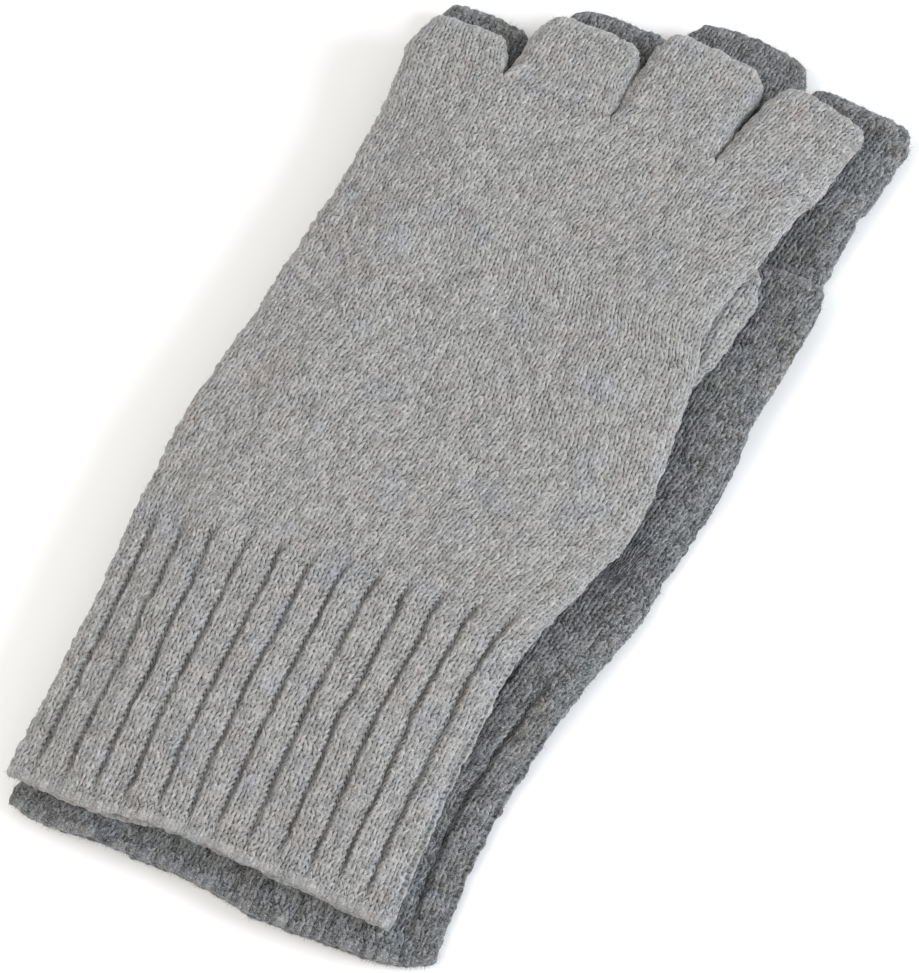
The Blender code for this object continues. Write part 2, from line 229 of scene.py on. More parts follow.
def evenly(ring, count):
    """The same closed line with its points at equal steps, starting at the left fold."""
    run = np.concatenate([[0.0], np.cumsum(np.linalg.norm(np.diff(ring, axis=0), axis=1))])
    share = np.arange(count) / count * run[-1]
    return np.stack([np.interp(share, run, ring[:, axis]) for axis in range(ring.shape[1])], -1)


def corner(across, left, right, radius):
    """How far a free end falls back at its two sides, so that its corners are round."""
    inside = np.minimum(across - left, right - across)
    past = np.clip(1.0 - inside / radius, 0.0, 1.0)
    return radius * (1.0 - np.sqrt(1.0 - past * past))


def stand(ring, centre, tilt):
    """Stands a cut upright at a place, across a line turned by tilt."""
    angle = math.radians(tilt)
    x = centre[0] + ring[:, 0] * math.cos(angle)
    y = centre[1] + ring[:, 0] * math.sin(angle)
    return np.stack([x, y, ring[:, 1]], axis=-1)

# %% [markdown]
# ## A tube that any stitch can be placed on
# `Tube` stacks the cuts along its length into a table of points. Asking it for a distance along
# and a share of the way round gives the surface point there and the direction that faces out. The
# stitches then need no knowledge of hands or fingers.

# %% Tube
class Tube:
    def __init__(self, cut, start, end, step=1.0, count=720):
        self.start, self.step = start, step
        self.lengths = np.arange(start, end + step, step)
        rings = [evenly(cut(length), count) for length in self.lengths]
        self.points = np.array(rings)
        around = np.roll(self.points, -1, axis=1) - np.roll(self.points, 1, axis=1)
        self.outward = np.cross(around, np.gradient(self.points, axis=0))
        self.outward /= np.linalg.norm(self.outward, axis=-1, keepdims=True) + 1e-9
        self.count = count

    def girth(self, length):
        row = self.points[int(round((length - self.start) / self.step))]
        return np.linalg.norm(row - np.roll(row, 1, axis=0), axis=1).sum()

    def at(self, along, share):
        """Surface points and outward directions at distances along and shares round."""
        row = np.clip((along - self.start) / self.step, 0, len(self.lengths) - 1.001)
        column = (share % 1.0) * self.count
        row_low, column_low = row.astype(int), column.astype(int) % self.count
        row_part, column_part = (row - row_low)[..., None], (column - np.floor(column))[..., None]
        found = []
        for table in (self.points, self.outward):
            after = (column_low + 1) % self.count
            near = table[row_low, column_low] * (1 - column_part)
            near = near + table[row_low, after] * column_part
            far = table[row_low + 1, column_low] * (1 - column_part)
            far = far + table[row_low + 1, after] * column_part
            found.append(near * (1 - row_part) + far * row_part)
        found[1] /= np.linalg.norm(found[1], axis=-1, keepdims=True) + 1e-9
        return found

# %% [markdown]
# ## How the fabric has sunk
# Knitting that has lain for a while sinks and pulls. Each cuff's end closes a little, spreads and
# hangs in a soft line, and the palm's thumb side covers the thumb's root and pulls in beside its
# tip. These values say by how much for each glove, as lines from one side or end to the other.

# %% Settled shape of the two gloves
END_CLOSES = 0.28
SINKS_FROM, HANGS_FROM = 0.55, 0.45
LIGHT["end_reach"], DARK["end_reach"] = 0.0, 2.0
LIGHT["end_spread"], DARK["end_spread"] = 0.9, 1.5
LIGHT["end_lean"], DARK["end_lean"] = 5.5, 2.8
# how far each cuff's end hangs from a straight line, from the left fold to the right one
LIGHT["end_line"] = line_through(
    (-1, -0.66, -0.5, -0.25, 0, 0.5, 1), (-0.6, -0.6, 0.0, 1.6, 2.2, 2.2, 1.1)
)
DARK["end_line"] = line_through(
    (-1, -0.94, -0.74, -0.53, 0, 0.2, 0.5, 0.8, 1),
    (3.4, 2.4, 1.4, 1.6, 0.2, -1.8, -1.6, -1.0, 2.2),
)
# where the palm's thumb side runs, by distance from the wrist
LIGHT["thumb_line"] = (
    (0, 14, 27, 38, 49, 60, 70, 80, 84, 89, 98, 112, 126),
    (42.3, 45.4, 48.3, 50.1, 50.8, 48.8, 47.0, 45.4, 43.6, 42.0, 42.6, 44.6, 47.5),
)
DARK["thumb_line"] = (
    (0, 22, 40, 64, 87, 106, 119, 133), (51.2, 53.9, 55.2, 55.7, 54.2, 52.4, 52.1, 52.5)
)
# how much the little finger's fold draws in, at the same places as "little_side"
LIGHT["drawn_in"] = (0.0, 0.6, 1.1, 1.1, 0.9, 0.5, 0.2, -0.2)
DARK["drawn_in"] = (0.0,) * 8
# the light glove lies over both thumbs, and so rises there
LIGHT["raise_by"] = THIN_HEIGHT + 2 * (THUMB_HEIGHT + GAP) + GAP - UPPER_BASE
DARK["raise_by"] = 0.0
print("the light glove rises", round(LIGHT["raise_by"], 1), "mm over the thumbs")

# %% [markdown]
# ## The hand and cuff as one tube
# On the real glove the cuff and the hand are knitted in one go, so here they share one tube, with
# distances counted from the wrist: the cuff below it and the hand above. The upper glove is lifted
# over the folded thumbs on one side, and both gloves thin towards the little finger's fold.

# %% Sides of the hand
def outline_of(sizes):
    """Smooth lines for the hand's two sides and for what changes along it."""
    begin = sizes["thumb_y"] - sizes["thumb_hole_length"] / 2 - THUMB_CLEAR
    tip = sizes["thumb_y"] + sizes["thumb_length"]
    middle = [begin + (tip - begin) * share for share in THUMB_SHARES]
    places = (0.0, WRIST_SHARE * begin, begin, *middle, tip, sizes["hand_length"])
    little = [drawn - share * sizes["half"]
              for drawn, share in zip(sizes["drawn_in"], sizes["little_side"])]
    return {
        "little": line_through(places, little),
        "thumb": line_through(*sizes["thumb_line"]),
        "room": line_through(places, THUMB_ROOM),
        "thinning": line_through(places, SIDE_THINNING),
    }

# %% Cut through the hand
def hand_cut(sizes, length):
    lines = sizes["lines"]
    left, right = float(lines["little"](length)), float(lines["thumb"](length))
    centre = (left + right) / 2
    share = length / sizes["hand_length"]
    tilt = WRIST_TILT * min(max(0.0, 1.0 - share / TURN_FROM), 1.0)
    tilt += KNUCKLE_TILT * max(0.0, (share - TURN_TO) / (1.0 - TURN_TO))
    room = float(np.clip(lines["room"](length), 0, 1))
    thinning = float(np.clip(lines["thinning"](length), 0, 1))

    def levels(across):
        place = across + centre
        thin = room * ease(place, sizes["slope_from"], sizes["slope_to"])
        side = 1.0 - ease(place / sizes["half"], -THIN_TO, -THIN_FROM)
        height = FULL_HEIGHT + (THIN_HEIGHT - FULL_HEIGHT) * thin
        height = height + (EDGE_HEIGHT - FULL_HEIGHT) * side * thinning
        low = sizes["base"] + sizes["raise_by"] * thin
        return low, low + height

    ring = flat_ring(left - centre, right - centre, levels, SIDE_ROUND)
    return stand(ring, (sizes["palm_x"] + centre, sizes["wrist_y"] + length), tilt)

# %% Cut through the cuff
def cuff_cut(sizes, length):
    lines = sizes["lines"]
    left, right = float(lines["little"](0)), float(lines["thumb"](0))
    down = -length
    part = min(down / sizes["cuff_length"], 1.0)
    half = (right - left) / 2 * (1.0 - part) * (1.0 - 2.0 * part)
    half += sizes["cuff_middle_width"] / 2 * 4.0 * part * (1.0 - part)
    half += (sizes["cuff_end_width"] / 2 + sizes["end_spread"]) * part * (2.0 * part - 1.0)
    centre = np.array([sizes["palm_x"] + (left + right) / 2, sizes["wrist_y"], 0.0])
    centre = centre - down * heading(-sizes["end_lean"])
    tilt = WRIST_TILT * (1.0 - part) + sizes["cuff_end_tilt"] * part
    closed = float(ease(part, SINKS_FROM, 1.0))
    base = sizes["base"] * (1.0 - END_CLOSES * closed)
    centre = centre - closed * sizes["end_reach"] * heading(-sizes["end_lean"])

    def levels(across):
        side = ease(np.abs(across) / half, THIN_FROM, THIN_TO)
        side = side * np.where(across > 0, ease(part, 0.0, 0.4), 1.0)
        height = (FULL_HEIGHT + (EDGE_HEIGHT - FULL_HEIGHT) * side) * (1.0 - END_CLOSES * closed)
        return base, base + height

    ring = flat_ring(-half, half, levels, SIDE_ROUND)
    placed = stand(ring, centre, tilt)
    placed[:, 1] += sizes["end_line"](ring[:, 0] / half) * ease(part, HANGS_FROM, 1.0)
    return placed

# %% Both main tubes
def main_tube(sizes):
    def cut(length):
        return hand_cut(sizes, length) if length >= 0 else cuff_cut(sizes, length)

    return Tube(cut, -sizes["cuff_length"] - 1.0, sizes["hand_length"] + 3.0)


for sizes in (LIGHT, DARK):
    sizes["lines"] = outline_of(sizes)
    sizes["tube"] = main_tube(sizes)
    ends = [round(sizes["tube"].girth(length), 1) for length in (0, sizes["hand_length"])]
    print(sizes["name"], "girth at the wrist and knuckles:", *ends, "mm")

# %% [markdown]
# ## Stitches
# Plain knitting is columns of Vs. Seen close, one V is two short thick lengths of yarn that lean
# away from each other and tuck under the Vs above and below. `STITCH_SIDE` and `STITCH_RISE` are
# the places inside one stitch where the mesh has points: crowded at the gaps, where the yarn turns
# under, and fewer on its back. The rows of points follow the lean of the legs, so every gap falls
# on an edge of the mesh and stays crisp.

# %% Relief of one stitch
STITCH_WIDTH = 2.05
STITCH_RISE_MM = 1.5
STITCH_SIDE = np.array([0.0, 0.10, 0.25, 0.40, 0.5, 0.60, 0.75, 0.90])
STITCH_RISE = np.array([0.0, 0.33, 0.67])
LEG_LEAN = 1.0
YARN_DEPTH = 0.56
LEG_ROUND, LEG_DIPS, GAP_DIPS = 0.42, 0.28, 0.30
TONES = np.random.RandomState(3).uniform(-1.0, 1.0, (509, 251))


def leg_relief(side, rise, gap):
    """Height of the yarn, 0 to 1, inside a stitch: side is across it, rise is up its leg."""
    leg = np.abs(4.0 * np.abs(side - 0.5) - 1.0)
    yarn = np.abs(2.0 * rise - 1.0)
    return 1.0 - LEG_ROUND * leg**2.5 - LEG_DIPS * yarn**2 - GAP_DIPS * gap * leg**2 * yarn**2


def own_tone(leg, course, seed):
    """A random value for each yarn leg, as no two are spun alike."""
    return TONES[(leg.astype(int) + 37 * seed) % 509, (course.astype(int) + 11 * seed) % 251]


print("one stitch:", STITCH_WIDTH, "x", STITCH_RISE_MM, "mm,",
      len(STITCH_SIDE) * len(STITCH_RISE), "faces")

# %% [markdown]
# ## From arrays to a mesh
# A glove has hundreds of thousands of mesh points, too many to make one at a time. Blender takes
# whole arrays instead. The mesh also carries two notes for the materials: `yarn` holds the tone of
# the point's own yarn leg, the height of the yarn there and how deep in a rib's groove it is, and
# `place` says where the point lies in the glove. A flat map of the tube is kept for textures.

# %% Make a mesh piece from arrays
def make_mesh(name, points, faces, flat, yarn):
    mesh = bpy.data.meshes.new(name)
    mesh.vertices.add(len(points))
    mesh.vertices.foreach_set("co", ((points + PLACE) * MM).astype(np.float32).ravel())
    mesh.loops.add(faces.size)
    mesh.loops.foreach_set("vertex_index", faces.astype(np.int32).ravel())
    mesh.polygons.add(len(faces))
    starts = np.arange(0, faces.size, faces.shape[1], dtype=np.int32)
    mesh.polygons.foreach_set("loop_start", starts)
    mesh.update(calc_edges=True)
    mesh.shade_smooth()
    layer = mesh.uv_layers.new(name="OFBake")
    layer.data.foreach_set("uv", flat.astype(np.float32).ravel())
    for note, values in (("yarn", yarn), ("place", points * MM)):
        attribute = mesh.attributes.new(note, "FLOAT_VECTOR", "POINT")
        attribute.data.foreach_set("vector", values.astype(np.float32).ravel())
    obj = bpy.data.objects.new(name, mesh)
    bpy.context.scene.collection.objects.link(obj)
    return obj


def grid_faces(rows, columns):
    """Faces of a grid that closes round, and the row and column of each of their corners."""
    row, column = np.meshgrid(np.arange(rows - 1), np.arange(columns), indexing="ij")
    corner_rows = np.stack([row, row, row + 1, row + 1], -1).reshape(-1, 4)
    corner_columns = np.stack([column, column + 1, column + 1, column], -1).reshape(-1, 4)
    return corner_rows * columns + corner_columns % columns, corner_rows, corner_columns

# %% [markdown]
# ## Ribs
# A cuff grips the wrist because it is ribbed: three knitted wales, then one purl wale that shows
# its back and sinks in between. `ribbed_share` packs the wales so that the purl one takes little
# room, and `rib_profile` gives the height across a rib.

# %% Shape of a rib
RIB_WALES = 4
KNITTED_SHARE = 0.82
RIB_CROWN, RIB_DEPTH = 0.35, 1.15


def ribbed_share(wale, ribs):
    """Share of the way round of a ribbed place: wide knitted wales and a narrow sunk one."""
    rib = np.floor(wale / RIB_WALES + 1e-9)
    inside = np.interp(
        wale - RIB_WALES * rib, (0.0, RIB_WALES - 1.0, RIB_WALES), (0.0, KNITTED_SHARE, 1.0))
    return (rib + inside) / ribs


def rib_profile(wale, rise):
    """Height across one rib: crowned over its knitted wales and low in the groove, whose sides
    are ragged because each stitch leans a leg out over it."""
    inside = wale - RIB_WALES * np.floor(wale / RIB_WALES + 1e-9)
    crown = np.sin(math.pi * np.clip(inside / (RIB_WALES - 1.0), 0, 1)) ** 0.6
    ragged = 0.20 * np.cos(2 * math.pi * rise)
    groove = np.minimum(inside - RIB_WALES + 1.2 + ragged, RIB_WALES + 0.15 - inside + ragged)
    return RIB_CROWN * crown - ease(groove, 0.0, 0.5)


WALES = RIB_WALES * RIBS
print(RIBS, "ribs and", WALES, "wales round a glove")

# %% [markdown]
# ## Wool settles
# Yarn never stays on an even grid. It wanders sideways by a fraction of a millimetre, and the
# whole fabric lies in shallow waves, but never below the table. Both moves depend only on where a
# point is, so neighbouring pieces move together and no seam opens.

# %% Drift and settle
DRIFT_WAVES = ((0.36, 1.9, 2), (0.5, 11.0, 4), (0.12, 0.75, 6))
WAVE_HEIGHT, WAVE_SIZE = 0.4, 24.0


def drift(points):
    """How far the yarn has wandered sideways from its even place."""
    flat = np.zeros_like(points)
    for axis in (0, 1):
        for amount, size, seed in DRIFT_WAVES:
            flat[..., axis] += amount * lumps(points, size, axis + seed)
    return flat


def settle(points):
    """The whole fabric lies a little unevenly, and never below the table."""
    moved = points.copy()
    uneven = WAVE_HEIGHT * lumps(points * (1, 1, 0.2), WAVE_SIZE, 11)
    moved[..., 2] = np.maximum(moved[..., 2] + uneven * ease(points[..., 2], 1.0, 4.0), 0.0)
    return moved

# %% [markdown]
# ## Free edges
# A fabric that just stopped would look like cut card. On a real glove the last stitches roll over
# a soft bead to the inside, so `turn_edge` carries the last row of points round half a circle,
# while the stitches' own relief fades.

# %% Turn an edge
TURN_DEGREES = (22, 45, 68, 92, 118, 145, 170)
RELIEF_FADES, BEAD_LUMPS = 0.85, 0.22


def turn_edge(tube, along, share, height, yarn, way, bead):
    """Rows of points that carry the last row over a rounded bead to the inside of the fabric."""
    rows, notes = [], []
    for degrees in TURN_DEGREES:
        angle = math.radians(degrees)
        height = RELIEF_FADES * height - 0.02
        place = np.stack([400 * share, 0 * share, 0 * share], -1)
        thick = bead + BEAD_LUMPS * lumps(place, 7.3, way)
        points, outward = tube.at(along + way * math.sin(angle) * (thick + 0.5 * height), share)
        lift = -bead + math.cos(angle) * (thick + height)
        rows.append(points + outward * lift[..., None])
        notes.append(yarn)
    return np.array(rows), np.array(notes)

# %% [markdown]
# ## Where loose fibres start
# Wool is hairy, and hairs show most where the fabric turns away from the eye and at its edges.
# While a piece is knitted, `root_fibres` picks points of its yarn by a seeded draw and gives each
# a direction and a length. The hairs themselves are made at the end.

# %% Roots of the fibres
FIBRES = {}
FIBRE_SHARE = 0.06
EDGE_FUZZ = 2.5
FIBRE_LENGTHS, FIBRE_ODDS = [1.0, 1.5, 2.3], (0.6, 0.3, 0.1)


def root_fibres(name, outer, yarn, seed):
    """Chooses where loose fibres leave the yarn, most of all on folds and edges, and which way."""
    around = np.roll(outer, -1, axis=1) - np.roll(outer, 1, axis=1)
    facing = np.cross(around, np.gradient(outer, axis=0))
    facing /= np.linalg.norm(facing, axis=-1, keepdims=True) + 1e-9
    chance = FIBRE_SHARE * (0.3 + 1.6 * (1.0 - np.abs(facing[..., 2])))
    chance = chance * (EDGE_FUZZ if "edge" in name or "rim" in name else 1.0)
    draw = np.random.RandomState(900 + seed)
    chosen = draw.uniform(size=chance.shape) < chance
    turn = draw.normal(size=(chosen.sum(), 3))
    lean = facing[chosen] * draw.uniform(0.2, 1.1, (len(turn), 1)) + 0.55 * turn
    lean /= np.linalg.norm(lean, axis=-1, keepdims=True)
    length = draw.uniform(0.5, 1.0, (len(turn), 1))
    length = length * draw.choice(FIBRE_LENGTHS, (len(turn), 1), p=FIBRE_ODDS)
    glove, part = name.split("_")[:2]
    group = glove + ("_thumb" if part == "thumb" else "_glove")
    FIBRES.setdefault(group, []).append((outer[chosen], lean * length, yarn[chosen][:, 0]))

# %% [markdown]
# ## Closing a piece
# A piece needs an inside too, since the gloves are open and the fabric has a thickness. The inner
# face lies one layer of wool below the outer one, and `close_tube` joins the two at both ends, so
# every piece is closed. It also unrolls them side by side into one flat map.

# %% Join the outer and the inner face
OUTER_MAP, INNER_MAP, STRIP_MAP = (0.02, 0.62), (0.98, -0.28), 0.012


def close_tube(name, outer, inner, yarn, yarn_inner):
    """Joins the outer and the inner face at their ends, and lays both out flat in one map."""
    rows, columns = outer.shape[:2]
    outer_faces, outer_row, outer_column = grid_faces(rows, columns)
    inner_faces, inner_row, inner_column = grid_faces(len(inner), columns)
    outer_up = OUTER_MAP[0] + OUTER_MAP[1] * outer_row / (rows - 1)
    inner_up = INNER_MAP[0] + INNER_MAP[1] * inner_row / (len(inner) - 1)
    shift = rows * columns
    faces = [outer_faces, inner_faces[:, ::-1] + shift]
    maps = [np.stack([outer_column / columns, outer_up], -1),
            np.stack([inner_column / columns, inner_up], -1)[:, ::-1]]
    column = np.arange(columns)
    after = (column + 1) % columns
    run = np.stack([column, column + 1, column + 1, column], -1) / columns
    last_outer, last_inner = (rows - 1) * columns, shift + (len(inner) - 1) * columns
    for outside, inside, base in ((0, shift, 0.0), (last_outer, last_inner, 0.66)):
        strip = np.stack(
            [inside + column, inside + after, outside + after, outside + column], -1)
        up = np.broadcast_to([base, base, base + STRIP_MAP, base + STRIP_MAP], run.shape)
        map_strip = np.stack([run, up], -1)
        if base:
            strip, map_strip = strip[:, ::-1], map_strip[:, ::-1]
        faces.append(strip)
        maps.append(map_strip)
    points = np.concatenate([outer.reshape(-1, 3), inner.reshape(-1, 3)])
    notes = np.concatenate([yarn.reshape(-1, 3), yarn_inner.reshape(-1, 3)])
    return make_mesh(name, points, np.concatenate(faces), np.concatenate(maps), notes)

# %% [markdown]
# ## Knitting a piece
# `knit` lays stitches on part of a tube. It works out where every point of every stitch lies
# round and along the tube and lifts it by the height of the yarn there. No two stitches are alike
# on real wool, so each leg gets its own height and tone from the random values.

# %% Places of the stitches' points
def always(part):
    return 1.0


def stitch_grid(wales, courses):
    """The wale and the rise of each point: whole numbers are where a new stitch starts."""
    wale = (np.arange(wales)[:, None] + STITCH_SIDE).ravel()
    rise = np.append((np.arange(courses)[:, None] + STITCH_RISE).ravel(), courses)
    return np.meshgrid(wale, rise)


def rise_within(rise, course, courses, free):
    """How far up its own leg a point is. A free edge's last stitch stays at its thickest."""
    within = rise - course
    if free > 0:
        top = np.clip(within, 0.0, 0.5) + 0.5 * (course == courses)
        within = np.where(course >= courses - 1, top, within)
    if free < 0:
        within = np.where(course == 0, np.maximum(within, 0.5), within)
    return within

# %% Knit
YARN_LEVEL = 0.8
LEG_SPREAD = 0.24
SURFACE_LUMPS = 0.25
FLUFF = 0.06
PURL_BUMP = 0.12


def knit(name, tube, wales, phase, start, end, seed,
         lean=always, ribness=None, tucked=False, free=0, bead=1.0):
    """A tube of knitting from distance start to end. phase is the wale at the left fold. A tucked
    tube's first course lies under the piece that it grows from. free is 1 or -1 where the end or
    the start is a free edge, round which the fabric turns in a bead."""
    low, high = start + (bead if free < 0 else 0.0), end - (bead if free > 0 else 0.0)
    courses = max(1, int(round((high - low) / STITCH_RISE_MM)))
    pitch = (high - low) / courses
    wale, rise = stitch_grid(wales, courses)
    side = wale - np.floor(wale)
    leaning = LEG_LEAN * STITCH_RISE_MM * (np.abs(2.0 * side - 1.0) - 0.5) * lean(rise / courses)
    along = low + rise * pitch + leaning
    share = (wale - phase) / wales
    ribbed = np.zeros_like(along)
    if ribness:
        ribbed = ribness(along, share)
        share = share + ribbed * (ribbed_share(wale, wales / RIB_WALES) - wale / wales)
    points, outward = tube.at(along, share)
    leg, course = np.floor(2.0 * wale + 1e-6), np.floor(rise + 1e-6)
    within = rise_within(rise, course, courses, free)
    tone = own_tone(leg, course, seed)
    relief = leg_relief(side, within, 1.0 + 0.8 * own_tone(leg, course, seed + 5))
    relief = relief + LEG_SPREAD * own_tone(leg, course, seed + 9)
    rib = rib_profile(wale, rise)
    groove = ribbed * ease(-rib, 0.1, 0.8)
    depth = RIB_DEPTH * (1.0 + 0.35 * lumps(points, 4.0, 13))
    height = YARN_DEPTH * (relief * (1.0 - 0.45 * groove) - YARN_LEVEL) + ribbed * depth * rib
    height = height + SURFACE_LUMPS * lumps(points, 7.0, 1)
    height = height + FLUFF * own_tone(8 * wale, 4 * rise, seed + 2)
    if tucked:
        height = height - 0.8 * (1.0 - ease(rise, 0.7, 1.2))
    outer = points + outward * height[..., None]
    yarn = np.stack([tone, relief, groove], -1)
    if free:
        last = -1 if free > 0 else 0
        turned, notes = turn_edge(
            tube, along[last], share[last], height[last], yarn[last], free, bead)
        outer = np.concatenate([outer, turned] if free > 0 else [turned[::-1], outer])
        yarn = np.concatenate([yarn, notes] if free > 0 else [notes[::-1], yarn])
    inner_rows = len(STITCH_RISE) * np.arange(courses + 1)
    purl = PURL_BUMP * np.cos(2 * math.pi * wale[inner_rows])
    purl = purl * np.where(inner_rows[:, None] % 2, 1, -1)
    inner = points[inner_rows] - outward[inner_rows] * (WALL + purl)[..., None]
    # the inner face gets a middle yarn height, which the material turns into part of the painted gap
    # shade
    yarn_inner = np.stack(
        [tone[inner_rows], np.full(inner.shape[:2], 0.5), 0 * tone[inner_rows]], -1)
    outer = settle(outer + drift(outer))
    root_fibres(name, outer, yarn, seed)
    return close_tube(name, outer, settle(inner), yarn, yarn_inner)

# %% [markdown]
# ## Hand and cuff
# Above the wrist the ribs open out into plain knitting, and not all at the same height, and
# towards the cuff's end they flatten. So how ribbed a place is depends on both how far along and
# how far round it is.

# %% Where the ribs fade
LIGHT["rib_end"], DARK["rib_end"] = 9.0, 15.0
LIGHT["rib_top"], LIGHT["rib_top_lean"] = 3.0, -5.0
DARK["rib_top"], DARK["rib_top_lean"] = 3.0, -2.0
FADE_HALF = 4.5
LEAST_RIB = 0.12


def rib_fade(sizes):
    end = -sizes["cuff_length"]

    def ribness(along, share):
        wander = 2.2 * lumps(np.stack([share * 200, 0 * share, 0 * share], -1), 9.0, 5)
        top = sizes["rib_top"] + wander + sizes["rib_top_lean"] * np.cos(2 * math.pi * share)
        fade = 1.0 - ease(along, top - FADE_HALF, top + FADE_HALF)
        rest = 1.0 - LEAST_RIB
        return fade * (LEAST_RIB + rest * ease(along, end + 1.5, end + sizes["rib_end"]))

    return ribness

# %% Knit both hands and cuffs
CUFF_BEAD = 1.25
made = {}


def upright_first(part):
    """The legs stand upright at a cast-on edge and lean more from there."""
    return 0.1 + 0.9 * ease(part, 0.0, 1.0)


for index, sizes in enumerate((DARK, LIGHT)):
    name, tube, ribness = sizes["name"], sizes["tube"], rib_fade(sizes)
    end, seed = -sizes["cuff_length"], 10 * index
    made[name + "_hand"] = knit(
        name + "_hand_knit", tube, WALES, 0, 0.0, sizes["hand_length"], seed, ribness=ribness)
    made[name + "_cuff"] = knit(
        name + "_cuff_knit", tube, WALES, 0, end + WELT_LENGTH, 0.0, seed + 1, ribness=ribness)
    made[name + "_cuff_edge"] = knit(
        name + "_cuff_edge_knit", tube, WALES, 0, end, end + WELT_LENGTH, seed + 2,
        ribness=ribness, lean=upright_first, free=-1, bead=CUFF_BEAD)
    faces = [len(made[name + part].data.polygons) for part in ("_hand", "_cuff")]
    print(name, "hand and cuff:", sum(faces), "faces")

# %% [markdown]
# ## Fingers
# Each finger carries on from the hand's own columns of stitches. At its root it is as flat as the
# hand, with no gap to its neighbour. A few millimetres on, its sides round over and it becomes a
# tube of its own, plump enough to press on its neighbours. Its last course is bound off in a rim.

# %% How the fingers lie
PLUMP = 1.1
TIP_CORNER = 3.2
# for the little, ring, middle and index finger
LIGHT["domes"], DARK["domes"] = (0.3, 0.6, 0.4, 0.6), (0.6, 0.8, 1.2, 0.8)
LIGHT["reach"], DARK["reach"] = (0.3, 0.2, 0.2, 0.3), (1.3, 2.4, 2.3, 2.2)
LIGHT["tip_turn"], DARK["tip_turn"] = (0.0, 0.0, 0.0, 0.0), (0.0, 8.0, 4.0, 3.0)
LIGHT["tip_shift"], DARK["tip_shift"] = (0.0, 0.0, 0.0, 0.0), (-1.0, 1.0, 0.0, 0.0)
LIGHT["right_spread"], DARK["right_spread"] = 0.0, 1.3

# %% Line of the knuckles
def knuckle_place(sizes, across, past=0.0):
    """A point on the line of the knuckles, from a place across the palm."""
    lines, length = sizes["lines"], sizes["hand_length"]
    centre = (float(lines["little"](length)) + float(lines["thumb"](length))) / 2
    angle = math.radians(KNUCKLE_TILT)
    run = (across - centre) / math.cos(angle)
    x = sizes["palm_x"] + centre + run * math.cos(angle) - past * math.sin(angle)
    y = sizes["wrist_y"] + length + run * math.sin(angle) + past * math.cos(angle)
    return np.array([x, y, 0.0])

# %% Tube of one finger
OPENS_OVER, SIDE_GAP = 7.0, 0.9
TIP_FROM, CORNER_FROM = 5.0, 7.0
TIP_NARROWS, TIP_FLATTENS = 1.1, 0.9
SHARP_FOLD, CROWN = 0.7, 0.5
FINE = {"step": 0.5, "count": 360}


def finger_tube(sizes, index):
    _, length, lean, taper, tip_tilt = sizes["fingers"][index]
    edges = [-sizes["little_side"][-1] * sizes["half"]]
    edges += [share * sizes["half"] for share in sizes["crotches"]]
    edges.append(sizes["thumb_side"][-1] * sizes["half"])
    left, right = edges[index], edges[index + 1]
    base = (knuckle_place(sizes, left) + knuckle_place(sizes, right)) / 2
    width = np.linalg.norm(knuckle_place(sizes, right) - knuckle_place(sizes, left))
    tip = base + (length + GAP) * heading(lean)
    dome = sizes["domes"][index]

    def cut(along):
        part = along / (length + GAP)
        tip_end = ease(along, length - TIP_FROM, length + 0.5)
        open_up = float(ease(along, 0.0, OPENS_OVER))
        half = (width - taper * part - TIP_NARROWS * tip_end - SIDE_GAP * open_up) / 2
        left = -half - (PLUMP * open_up if index > 0 else 0.0)
        right = half + (PLUMP * open_up if index < 3 else 0.0) + sizes["right_spread"] * open_up
        tilt = KNUCKLE_TILT * (1.0 - part) + (tip_tilt + sizes["tip_turn"][index]) * part
        height = FULL_HEIGHT + (FINGER_HEIGHT - FULL_HEIGHT) * open_up - TIP_FLATTENS * tip_end
        soft = [SHARP_FOLD + (FINGER_HEIGHT / 2 - SHARP_FOLD) * open_up] * 2
        if index == 0:
            soft[0] = SIDE_ROUND
        if index == 3:
            soft[1] = SIDE_ROUND

        def levels(across):
            crown = CROWN * open_up * (across / half) ** 2
            return sizes["base"] + 0 * across, sizes["base"] + height - crown

        ring = flat_ring(left, right, levels, tuple(soft))
        placed = stand(ring, base + (tip - base) * part, tilt)
        placed[:, 1] -= dome * (ring[:, 0] / half) ** 2 * max(part, 0.0) ** 2
        rounded = corner(ring[:, 0], left, right, TIP_CORNER)
        placed[:, 1] -= rounded * ease(along, length - CORNER_FROM, length)
        placed[:, 1] += sizes["reach"][index] * ease(along, 0.0, length)
        placed[:, 0] += sizes["tip_shift"][index] * ease(along, 0.0, length)
        return placed

    return Tube(cut, -3 * STITCH_RISE_MM, length + GAP + 1.0, **FINE)

# %% Wales round a finger
def finger_wales(sizes, index, tube):
    """How many wales go round the finger, and which lies at its left fold to meet the hand's."""
    count = int(round(tube.girth(0.0) / STITCH_WIDTH))
    top = tube.at(np.array([0.0]), np.array([0.25]))[0][0]
    shares = np.arange(0, 0.5, 0.0005)
    row = sizes["tube"].at(np.full_like(shares, sizes["hand_length"]), shares)[0]
    hand_wale = shares[np.argmin(np.hypot(row[:, 0] - top[0], row[:, 1] - top[1]))] * WALES
    return count, (hand_wale - 0.25 * count) % 1.0

# %% Knit the fingers
RIM_BEAD = 1.0


def upright_last(part):
    """The legs straighten up towards a bound-off rim."""
    return 1 - 0.9 * ease(part, 0.0, 1.0)


